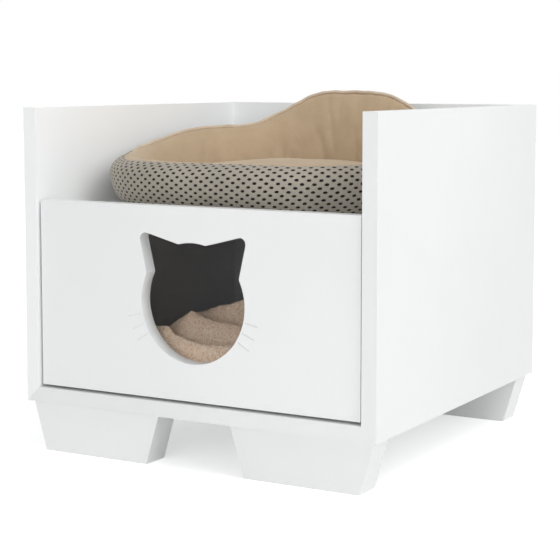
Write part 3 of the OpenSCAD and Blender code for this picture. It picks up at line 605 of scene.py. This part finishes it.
def wall_section(rim_h, seam):
    """Inset and height round the wall's section: up the outside to the seam, over the rim,
    down the inside and back underneath, and the length of the first two parts."""
    lean = RIM_IN + RIM_LEAN * (rim_h - WALL_FRONT_H) / (WALL_BACK_H - WALL_FRONT_H)

    def shoulder(first, last, count):
        angle = np.linspace(first, last, count)
        inset = lean * (1 - np.cos(angle))
        return np.stack([inset, BELLY_H + (rim_h - BELLY_H) * np.sin(angle)], 1)

    angle = np.linspace(-math.pi / 2, 0, 40)[:-1]
    low = np.stack([UNDER * (1 - np.cos(angle)), BELLY_H * (1 + np.sin(angle))], 1)
    down = np.linspace(0, 1, 120) ** 2
    inset = lean + (WALL_T - lean) * np.sqrt(1 - (1 - down) ** 2)
    inner = np.stack([inset, rim_h * (1 - down)], 1)
    outside, long_out = spread(np.concatenate([low, shoulder(0, seam, 60)]), ROWS_OUT)
    over = shoulder(seam, math.pi / 2, 20)[:-1]
    inside, long_in = spread(np.concatenate([over, inner]), ROWS_IN + 1)
    under = np.stack([np.linspace(WALL_T, UNDER, ROWS_UNDER + 2)[1:-1],
                      np.zeros(ROWS_UNDER)], 1)
    return np.concatenate([outside, inside[1:], under]), long_out, long_in


def wall_form(angles, turn):
    """The wall's vertices, row by row at each angle, and how far up the cloth each one lies."""
    points = np.empty((WALL_AROUND, WALL_ROWS, 3))
    height = np.empty((WALL_AROUND, WALL_ROWS))
    for i, angle in enumerate(angles):
        section, long_out, long_in = wall_section(wall_height(turn[i]), seam_angle(turn[i]))
        x, y = outline(section[:, 0], angle)
        points[i] = np.stack([x, y + BED_MID_Y, BED_Z + section[:, 1]], 1)
        inside = np.linspace(0, long_in, ROWS_IN + 1)[1:]
        height[i, :ROWS_OUT] = np.linspace(0, long_out, ROWS_OUT)
        height[i, ROWS_OUT:ROWS_OUT + ROWS_IN] = long_out + inside
        height[i, -ROWS_UNDER:] = height[i, -ROWS_UNDER - 1]
    return points, height


def wall_weave(along, girth, height):
    """The weave map of the wall, which leans as the rows of dots do."""
    weave = []
    for i in range(WALL_AROUND):
        n = (i + 1) % WALL_AROUND
        left = along[i]
        right = left + girth / WALL_AROUND
        for j in range(WALL_ROWS):
            k = (j + 1) % WALL_ROWS or j
            corners = ((left, height[i, j]), (right, height[n, j]),
                       (right, height[n, k]), (left, height[i, k]))
            weave += [(run - DOT_LEAN * up, up) for run, up in corners]
    return weave


def stuff_wall(wall, turn):
    """Gives the wall its lumps and the pucker along its seam, and fills it. The underside and
    the seam keep their place."""
    co = coordinates(wall)
    no = normals(wall)
    raised = smooth_step((PUCKER_FROM - turn) / (PUCKER_FROM - PUCKER_TO))
    near_seam = bell(np.arange(WALL_ROWS), SEAM_ROW, PUCKER_ROWS)[None, :] * raised[:, None]
    lumps = layered_noise(co, WALL_LUMPS)
    pucker = layered_noise(co * (1, 1, 0.25), PUCKER) * near_seam.ravel()
    free = np.ones((WALL_AROUND, WALL_ROWS))
    free[:, ROWS_OUT + ROWS_IN - 1:] = 0
    free[:, 0] = 0
    seam_in = np.zeros((WALL_AROUND, WALL_ROWS))
    seam_in[:, SEAM_ROW] = SEAM_DEPTH
    shape = (lumps + pucker - WALL_SLACK) * free.ravel() - seam_in.ravel()
    set_coordinates(wall, co + no * shape[:, None])
    held = 1 - free
    held[:, SEAM_ROW] = 1
    puff(wall, WALL_PRESSURE, held.ravel())


def build_wall(dotted, tan):
    """The stuffed wall, dotted outside and plush inside, and the line of its seam."""
    angles, along, girth = even_angles(WALL_AROUND)
    turn = turn_from_back(angles)
    points, height = wall_form(angles, turn)
    faces = grid_faces(WALL_AROUND, WALL_ROWS, True, True)
    wall = make_mesh("bed_wall_cloth", points.reshape(-1, 3), faces)
    corner_map(wall, "weave", wall_weave(along, girth, height))
    wall.data.materials.append(dotted)
    wall.data.materials.append(tan)
    fabric = [0] * SEAM_ROW + [1] * (ROWS_IN + 1) + [0] * ROWS_UNDER
    wall.data.polygons.foreach_set("material_index", fabric * WALL_AROUND)
    stuff_wall(wall, turn)
    seam_line = coordinates(wall).reshape(WALL_AROUND, WALL_ROWS, 3)[:, SEAM_ROW]
    seam_up = normals(wall).reshape(WALL_AROUND, WALL_ROWS, 3)[:, SEAM_ROW]
    subdivide(wall)
    return wall, seam_line, seam_up, turn


def tube(name, path, up, radius):
    """A round cord along a path of points, with closed ends. up is where the cord's top is at
    each point, and its weave map holds metres along it and round it."""
    ahead = np.gradient(path, axis=0)
    ahead /= np.linalg.norm(ahead, axis=1, keepdims=True)
    side = np.cross(ahead, up)
    side /= np.linalg.norm(side, axis=1, keepdims=True)
    over = np.cross(side, ahead)
    run = np.concatenate([[0], np.cumsum(np.linalg.norm(np.diff(path, axis=0), axis=1))])
    points = []
    weave = []
    for i in range(len(path)):
        for j in range(CORD_SIDES):
            a = 2 * math.pi * j / CORD_SIDES
            points.append(path[i] + radius[i] * (math.cos(a) * side[i] + math.sin(a) * over[i]))
    faces = grid_faces(len(path), CORD_SIDES, False, True)
    around = 2 * math.pi * float(np.max(radius)) / CORD_SIDES
    for i in range(len(path) - 1):
        for j in range(CORD_SIDES):
            low = j * around
            high = (j + 1) * around
            weave += [(run[i], low), (run[i + 1], low), (run[i + 1], high), (run[i], high)]
    first_end = range(CORD_SIDES)
    last_end = range(len(path) * CORD_SIDES - 1, (len(path) - 1) * CORD_SIDES - 1, -1)
    for end in (first_end, last_end):
        faces.append(tuple(end))
        weave += [(0.0, 0.0)] * CORD_SIDES
    cord = make_mesh(name, points, faces)
    corner_map(cord, "weave", weave)
    return cord


def build_piping(seam_line, seam_up, turn, cloth):
    """Piping that sits in the seam of the raised part, and tucks in at its two ends."""
    order = np.roll(np.arange(len(turn)), len(turn) // 2)
    order = order[turn[order] < PIPING_END]
    dense = np.linspace(0, len(order) - 1, 2 * len(order))

    def smoothed(values):
        values = np.stack([np.interp(dense, np.arange(len(order)), values[order, k])
                           for k in range(3)], 1)
        for _ in range(6):
            values[1:-1] = (values[:-2] + 2 * values[1:-1] + values[2:]) / 4
        return values

    line = smoothed(seam_line)
    up = smoothed(seam_up)
    from_end = np.minimum(np.arange(len(dense)), np.arange(len(dense))[::-1])
    tuck = smooth_step(from_end / PIPING_TUCK)
    path = line + up * (PIPING_UP * tuck - PIPING_TUCKED * (1 - tuck))[:, None]
    radius = PIPING_R * (0.55 + 0.45 * tuck)
    cord = tube("bed_piping_cord", path, up, radius)
    cord.data.materials.append(cloth)
    return cord


# The pad: its height at the edge and in the middle, its gap to the wall's foot, the size of
# its mesh, its creases, how far it starts inside its form, its pressure, and the sewn edge's
# height, half width and depth
PAD_EDGE_H = 0.038
PAD_CROWN_H = 0.054
PAD_GAP = 0.001
PAD_VOXEL = 0.005
PAD_AROUND = 160
PAD_CREASES = ((16.0, 3, 0.0022), (45.0, 4, 0.0007))
PAD_SLACK = 0.0015
PAD_PRESSURE = 4.0
PAD_SEAM_H = 0.0304
PAD_SEAM_W = 0.0028
PAD_SEAM_DEPTH = 0.0022


def pad_profile():
    """Inset from the wall's foot and height, from the middle of the underside over the edge
    to the crown."""
    inner = min(BED_HALF_W, BED_HALF_D) - WALL_T
    crown = PAD_CROWN_H - PAD_EDGE_H
    under = [(inner * 0.9, 0.0), (inner * 0.5, 0.0), (0.010, 0.0)]
    side = [(PAD_GAP + 0.003, 0.005), (PAD_GAP, 0.016), (PAD_GAP + 0.001, 0.028),
            (PAD_GAP + 0.004, 0.035)]
    top = [(PAD_GAP + 0.006 + (inner - 0.01) * u ** 1.35,
            PAD_EDGE_H + crown * math.sin(u * math.pi / 2))
           for u in np.linspace(0, 1, 14)[1:]]
    return under + side + top


def build_pad(cloth):
    """The cushion inside the wall: a closed form filled by simulation, with a sewn edge."""
    profile = pad_profile()
    points = []
    for angle in np.linspace(0, 2 * math.pi, PAD_AROUND, endpoint=False):
        for inset, z in profile:
            x, y = outline(WALL_T + inset, angle)
            points.append((float(x), float(y) + BED_MID_Y, BED_Z + z))
    rows = len(profile)
    faces = grid_faces(PAD_AROUND, rows, True, False)
    faces.append(tuple(k * rows for k in range(PAD_AROUND)))
    faces.append(tuple(k * rows + rows - 1 for k in range(PAD_AROUND - 1, -1, -1)))
    pad = make_mesh("bed_pad_cushion", points, faces)
    remesh(pad, PAD_VOXEL)
    co = coordinates(pad)
    no = normals(pad)
    creases = layered_noise(co, PAD_CREASES)
    free = smooth_step((co[:, 2] - BED_Z - 0.004) / 0.02)
    set_coordinates(pad, co + no * ((creases - PAD_SLACK) * free)[:, None])
    puff(pad, PAD_PRESSURE, 1 - free)
    subdivide(pad)
    co = coordinates(pad)
    no = normals(pad)
    sewn = PAD_SEAM_DEPTH * bell(co[:, 2] - BED_Z, PAD_SEAM_H, PAD_SEAM_W)
    set_coordinates(pad, co - no * (sewn * (no[:, 2] < 0.8))[:, None])
    pad.data.materials.append(cloth)
    return pad


# Blanket, with x from its middle and y from its front edge

BLANKET_LOW, BLANKET_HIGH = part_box("blanket")

# One layer's thickness, and how far each layer stays clear of the plane between the two
LAYER = 0.0058
LAYER_GAP = 0.0004

# The roll along the drawer front: its place, half width, height and two rises to the left
ROLL_AT = 0.024
ROLL_W = 0.018
ROLL_H = 0.036
ROLL_RISE = 0.006
ROLL_END_RISE = 0.0105

# The pointed hump behind it: its place, how deep it is, its top, the slope to its left and
# what that ends in, and the height to its right
RIDGE_AT = 0.074
RIDGE_W = 0.034
HUMP_X = -0.062
HUMP_H = 0.066
HUMP_SLOPE = 0.66
HUMP_LEFT_H = 0.034
HUMP_RIGHT_H = 0.053

# The bunch at the right: its place, how far it reaches to the front and back, and its
# outline, the lowest of two slopes and a level top
BUNCH_AT = 0.124
BUNCH_FRONT_W = 0.034
BUNCH_BACK_W = 0.050
BUNCH_STEEP = (0.090, 0.42)
BUNCH_GENTLE = (0.0776, 0.19)
BUNCH_TOP = 0.080

# The flat rear, and how sharply the four forms merge
REAR_H = 0.008
REAR_RISE = 0.026
MERGE = 420.0

# The cloth: its folds, and the scale, seed and height of the noise of its curls
FOLD_DEPTH = 0.004
FOLD_RISE = 0.006
SMALL_FOLD = 0.0018
WRINKLE = 0.009
CURLS = ((330.0, 8, 0.0009), (150.0, 9, 0.00072))

# The cut edges: how deep they wave, how far the corners and the upper layer draw in, how much
# shorter the upper layer is, and how far from an edge a corner starts
EDGE_WAVE = 0.006
CORNER_IN = 0.010
UPPER_IN = 0.004
UPPER_SHORT = 0.014
EDGE_ZONE = 0.035

# Vertices across the blanket, and along the upper side, the underside or the inner floor, and
# the inside of the upper layer
BLANKET_ACROSS = 300
BLANKET_UPPER = 224
BLANKET_LOWER = 24
BLANKET_INSIDE = 60


def blanket_height(x, y):
    """Top of the blanket above its underside. A roll lies along the drawer front, a pointed
    hump rises behind it, and the rest is bunched up at the right and lies flat at the rear."""
    roll = (ROLL_H + ROLL_RISE * smooth_step((-x - 0.02) / 0.04)
            + ROLL_END_RISE * smooth_step((-x - 0.056) / 0.014))
    roll = roll * bell(y, ROLL_AT - 0.003 * np.sin(x * 30 + 1), ROLL_W)

    past = np.abs(x - HUMP_X)
    at_left = np.maximum(HUMP_H - HUMP_SLOPE * past, HUMP_LEFT_H)
    at_right = HUMP_RIGHT_H + (HUMP_H - HUMP_RIGHT_H) * np.exp(-(past / 0.030) ** 1.3)
    crest = np.where(x < HUMP_X, at_left, at_right)
    crest = crest * smooth_step((x + 0.20) / 0.10) * (1 - 0.4 * smooth_step((x - 0.04) / 0.10))
    hump = crest * np.exp(-np.abs((y - RIDGE_AT) / RIDGE_W) ** 1.8)

    steep = BUNCH_STEEP[0] + BUNCH_STEEP[1] * x
    gentle = BUNCH_GENTLE[0] + BUNCH_GENTLE[1] * x
    rise = np.minimum(np.minimum(steep, gentle), BUNCH_TOP)
    rise = rise * smooth_step((x + 0.130) / 0.040)
    rise = rise * (1 - 0.6 * smooth_step((x - 0.07) / 0.11))
    reach = np.where(y < BUNCH_AT, BUNCH_FRONT_W, BUNCH_BACK_W)
    bunch = np.maximum(0, rise) * bell(y, BUNCH_AT, reach)

    rear = REAR_H + REAR_RISE * smooth_step((x + 0.05) / 0.08)
    rear = rear * (0.6 + 0.4 * np.sin(38 * x + 22 * y)) * smooth_step((y - 0.13) / 0.06)
    form = np.stack([roll, hump, bunch, rear])
    return np.log(np.exp(form * MERGE).sum(0)) / MERGE


def blanket_top(x, y, width, depth):
    """The height with the folds of the cloth, drawn down to two layers at the edges."""
    points = np.stack([x, y, np.zeros_like(x)], -1).reshape(-1, 3)
    fold = np.abs(noise_at(points * (1, 1.6, 1), 17.0, 6)).reshape(x.shape)
    small = noise_at(points, 42.0, 7).reshape(x.shape)
    deep = FOLD_DEPTH + FOLD_RISE * smooth_step((x + 0.06) / 0.06)
    folds = deep * (0.35 - fold) * smooth_step((y - 0.07) / 0.06) + SMALL_FOLD * small
    wrinkle = noise_at(points * (1, 1.3, 1), 9.0, 12).reshape(x.shape)
    folds = folds + WRINKLE * np.exp(-(wrinkle / 0.12) ** 2) * smooth_step((y - 0.13) / 0.05)
    edge = (smooth_step((width / 2 - np.abs(x)) / 0.04) * smooth_step((depth - y) / 0.06)
            * smooth_step(y / 0.014))
    return 2 * LAYER + edge * np.maximum(0, blanket_height(x, y) + folds - 2 * LAYER)


def loosen_edges(co, upper, width, depth):
    """Draws the straight cut edges in by soft waves, rounds the corners, and lets the upper
    layer end short of the lower one. upper is 1 on the upper layer and 0 on the lower one."""
    x = co[:, 0].copy()
    y = co[:, 1].copy()
    far = smooth_step((y - 0.15) / 0.12)
    at_side = smooth_step((np.abs(x) - width / 2 + EDGE_ZONE) / EDGE_ZONE)
    at_back = smooth_step((y - depth + EDGE_ZONE) / EDGE_ZONE)
    sway = 0.5 + 0.5 * np.sin(y * 34 + np.sign(x) * 1.3)
    pull = EDGE_WAVE * far * sway + CORNER_IN * at_back + UPPER_IN * upper * far
    co[:, 0] = x - np.sign(x) * pull * (np.abs(x) / (width / 2)) ** 2
    swing = 0.5 + 0.5 * np.sin(x * 27 + 0.8)
    short = UPPER_SHORT * (0.6 + 0.4 * np.sin(x * 19 - 1.0))
    co[:, 1] = y - (EDGE_WAVE * swing + CORNER_IN * at_side + short * upper) * far ** 2


def blanket_skin(width, depth):
    """The lines of vertices that run across the blanket, in the order in which they close
    round the cloth: underside, front fold, top, rear hem, inside of the upper layer, inside of
    the lower one and its hem. Also which lines are of the upper layer, and which lie open."""
    across = np.linspace(-width / 2, width / 2, BLANKET_ACROSS)
    half = LAYER / 2
    end = depth - half

    def lines(first, last, count):
        return np.linspace(first, last, count)[:, None] + 0 * across[None, :]

    def strip(y, z):
        return np.stack([np.broadcast_to(across, y.shape), y, z], -1)

    def height(y):
        return blanket_top(np.broadcast_to(across, y.shape), y, width, depth)

    y_down = lines(end, LAYER, BLANKET_LOWER)
    y_up = lines(LAYER, end, BLANKET_UPPER)
    y_in = lines(end, LAYER, BLANKET_INSIDE)
    y_floor = lines(LAYER, end, BLANKET_LOWER)
    top = height(y_up)
    under = np.maximum(LAYER + LAYER_GAP, height(y_in) - LAYER)
    bend = np.radians(lines(-90, 90, 9)[1:-1])
    fold = strip(LAYER - LAYER * np.cos(bend), LAYER + LAYER * np.sin(bend))
    hem = np.radians(lines(90, -90, 7)[1:-1])
    hem_y = end + half * np.cos(hem)
    hem_up = strip(hem_y, (top[-1] + under[0]) / 2 + (top[-1] - under[0]) / 2 * np.sin(hem))
    hem_down = strip(hem_y, half + (LAYER - LAYER_GAP) / 2 * np.sin(hem))
    outer = np.concatenate([strip(y_down, np.zeros_like(y_down)), fold, strip(y_up, top)])
    inner = np.concatenate([strip(y_in, under),
                            strip(y_floor, np.full_like(y_floor, LAYER - LAYER_GAP))])
    skin = np.concatenate([outer, hem_up, inner, hem_down])
    upper = np.zeros(len(skin))
    upper[BLANKET_LOWER + len(fold):len(outer) + len(hem_up) + BLANKET_INSIDE] = 1
    lies_open = np.zeros(len(skin))
    lies_open[BLANKET_LOWER:len(outer)] = 1
    return skin, upper, lies_open


def build_blanket(cloth):
    """A fleece folded once: the lower layer lies on the drawer floor, turns up at the front
    and comes back over itself as the upper layer. One closed skin with the cloth's thickness."""
    width = BLANKET_HIGH.x - BLANKET_LOW.x
    depth = BLANKET_HIGH.y - BLANKET_LOW.y
    skin, upper, lies_open = blanket_skin(width, depth)
    rows = len(skin)
    points = skin.transpose(1, 0, 2).reshape(-1, 3)
    loosen_edges(points, np.tile(upper, BLANKET_ACROSS), width, depth)
    points += (0, BLANKET_LOW.y, BLANKET_LOW.z)
    faces = [f[::-1] for f in grid_faces(BLANKET_ACROSS, rows, False, True)]
    faces.append(tuple(range(rows)))
    faces.append(tuple(range(BLANKET_ACROSS * rows - 1, (BLANKET_ACROSS - 1) * rows - 1, -1)))
    blanket = make_mesh("blanket_fleece", points, faces)
    co = coordinates(blanket)
    no = normals(blanket)
    curls = layered_noise(co, CURLS) * np.tile(lies_open, BLANKET_ACROSS)
    set_coordinates(blanket, co + no * curls[:, None])
    blanket.data.materials.append(cloth)
    return blanket


# Stage, light and camera

def area_light(name, place, aim, side, watts):
    """A square lamp at a place that shines on what it aims at."""
    data = bpy.data.lights.new(name, "AREA")
    data.shape = "SQUARE"
    data.size = side
    data.energy = watts
    lamp = bpy.data.objects.new(name, data)
    lamp.location = place
    lamp.rotation_euler = (Vector(aim) - Vector(place)).to_track_quat("-Z", "Y").to_euler()
    bpy.context.scene.collection.objects.link(lamp)


def seen_directly(tree):
    """1 for rays that show the stage itself: camera, glossy and transmission rays."""
    path = tree.nodes.new("ShaderNodeLightPath")
    total = path.outputs["Is Camera Ray"]
    for name in ("Is Glossy Ray", "Is Transmission Ray"):
        add = tree.nodes.new("ShaderNodeMath")
        add.operation = "MAXIMUM"
        tree.links.new(total, add.inputs[0])
        tree.links.new(path.outputs[name], add.inputs[1])
        total = add.outputs[0]
    return total


def scaled_by(tree, value, low, high):
    """value, from 0 to 1, mapped to low..high."""
    made = tree.nodes.new("ShaderNodeMapRange")
    tree.links.new(value, made.inputs[0])
    made.inputs[3].default_value = low
    made.inputs[4].default_value = high
    return made.outputs[0]


def build_stage():
    """A white studio: the world, a pale floor and the lamps. Rays that show the stage itself
    see a brighter world and floor than those that light the object."""
    scene = bpy.context.scene
    scene.view_settings.view_transform = "Standard"
    world = bpy.data.worlds.new("studio")
    scene.world = world
    world.use_nodes = True
    tree = world.node_tree
    back = tree.nodes["Background"]
    back.inputs["Color"].default_value = (1, 1, 1, 1)
    tree.links.new(scaled_by(tree, seen_directly(tree), WORLD_FILL, 1.0), back.inputs["Strength"])

    r = FLOOR_HALF
    floor = make_mesh("floor", [(-r, -r, 0), (r, -r, 0), (r, r, 0), (-r, r, 0)], [(0, 1, 2, 3)])
    s = Shade("floor", rough=0.9, Specular_IOR_Level=0.1)
    s.finish(s.mix(s.span(s.noise(2.0, 3.0), 0.3, 0.7), srgb(249, 249, 249), srgb(251, 251, 251)))
    s.put(s.bsdf, "Emission Color", (1, 1, 1, 1))
    away = s.vector("LENGTH", s.place)
    glow = s.span(away, FLOOR_NEAR, FLOOR_FAR, FLOOR_GLOW_NEAR, FLOOR_GLOW_FAR)
    s.put(s.bsdf, "Emission Strength", s.math("MULTIPLY", glow, seen_directly(s.tree)))
    floor.data.materials.append(s.mat)

    for name, place, aim, side, watts in LAMPS:
        area_light(name, place, aim, side, watts)


def build_camera():
    data = bpy.data.cameras.new("camera")
    data.lens = CAMERA_LENS
    data.sensor_width = CAMERA_SENSOR
    data.shift_y = CAMERA_SHIFT
    data.clip_start = CAMERA_NEAR
    data.clip_end = CAMERA_FAR
    camera = bpy.data.objects.new("camera", data)
    camera.location = CAMERA_PLACE
    camera.rotation_euler = (math.radians(90 - CAMERA_DOWN), 0, math.radians(CAMERA_TURN))
    bpy.context.scene.collection.objects.link(camera)
    bpy.context.scene.camera = camera


# Dressing

def soften_edges(node, width):
    """Breaks a board's sharp edges a little, as a trimmed edge band does."""
    weld = node.modifiers.new("weld", "WELD")
    weld.merge_threshold = WELD_WITHIN
    bevel = node.modifiers.new("edges", "BEVEL")
    bevel.width = width
    bevel.segments = 2
    bevel.limit_method = "ANGLE"
    bevel.angle_limit = math.radians(EDGE_ANGLE)
    bevel.use_clamp_overlap = True
    bevel.harden_normals = True


def dress(names, material):
    """Gives the CAD nodes of these names a material."""
    for name in names:
        slots = NODES[name].data.materials
        slots.clear()
        slots.append(material)


def dress_fittings():
    """Finishes of the dowels, the cam fittings and screws, and the runners."""
    dress([n for n in NODES if n.endswith("dowels")], dowel_wood())
    dress([n for n in NODES if n.endswith("cam_locks")],
          metal("cam_zinc", srgb(168, 168, 166), 0.45, (300, 300, 300)))
    dress([n for n in NODES if n.endswith(("cam_bolts", "screws"))],
          metal("fixing_steel", srgb(196, 196, 198), 0.32, (900, 900, 900)))
    dress([n for n in NODES if n.endswith("cage")],
          metal("cage_steel", srgb(176, 172, 160), 0.4, (900, 60, 900)))
    dress([n for n in NODES if n.endswith("member")],
          metal("runner_steel", srgb(190, 192, 196), 0.34, (900, 40, 900)))


def stand_for(piece, node, body):
    """The piece takes the place of a CAD node, on that node's body."""
    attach(piece, body)
    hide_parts(node)


def main():
    build_camera()
    build_stage()
    edged = ["drawer_front", "drawer_back", *GREY_BOARDS]
    for name, (painted_light_steps, boards) in WHITE_BOARDS.items():
        dress(boards, white_board(name, painted_light_steps))
        edged += boards
    dress(["drawer_front"], white_board("white_front", paint_groove_shade=True))
    dress(GREY_BOARDS, grey_board("grey_board", srgb(214, 215, 217), srgb(220, 221, 223)))
    # The drawer back is a darker copy of the grey board: painted shade, so that it reads no
    # brighter than the sides though more light falls on it
    dress(["drawer_back"], grey_board("grey_back_painted_shade", srgb(197, 199, 201), srgb(203, 205, 207)))
    dress(["drawer_floor"], grey_hardboard())
    dress_fittings()
    for name in edged:
        soften_edges(NODES[name], INNER_EDGE_WIDTH if name in INNER_BOARDS else EDGE_WIDTH)

    tan = plush("tan_plush", srgb(189, 167, 138), srgb(199, 177, 148))
    wall, seam_line, seam_up, turn = build_wall(dotted_fabric(), tan)
    stand_for(wall, "bed_wall", "bed")
    piping = build_piping(seam_line, seam_up, turn, piping_cloth())
    stand_for(piping, "bed_piping", "bed")
    pad = build_pad(tan)
    stand_for(pad, "bed_pad", "bed")
    blanket = build_blanket(fleece())
    stand_for(blanket, "blanket", "drawer")


main()
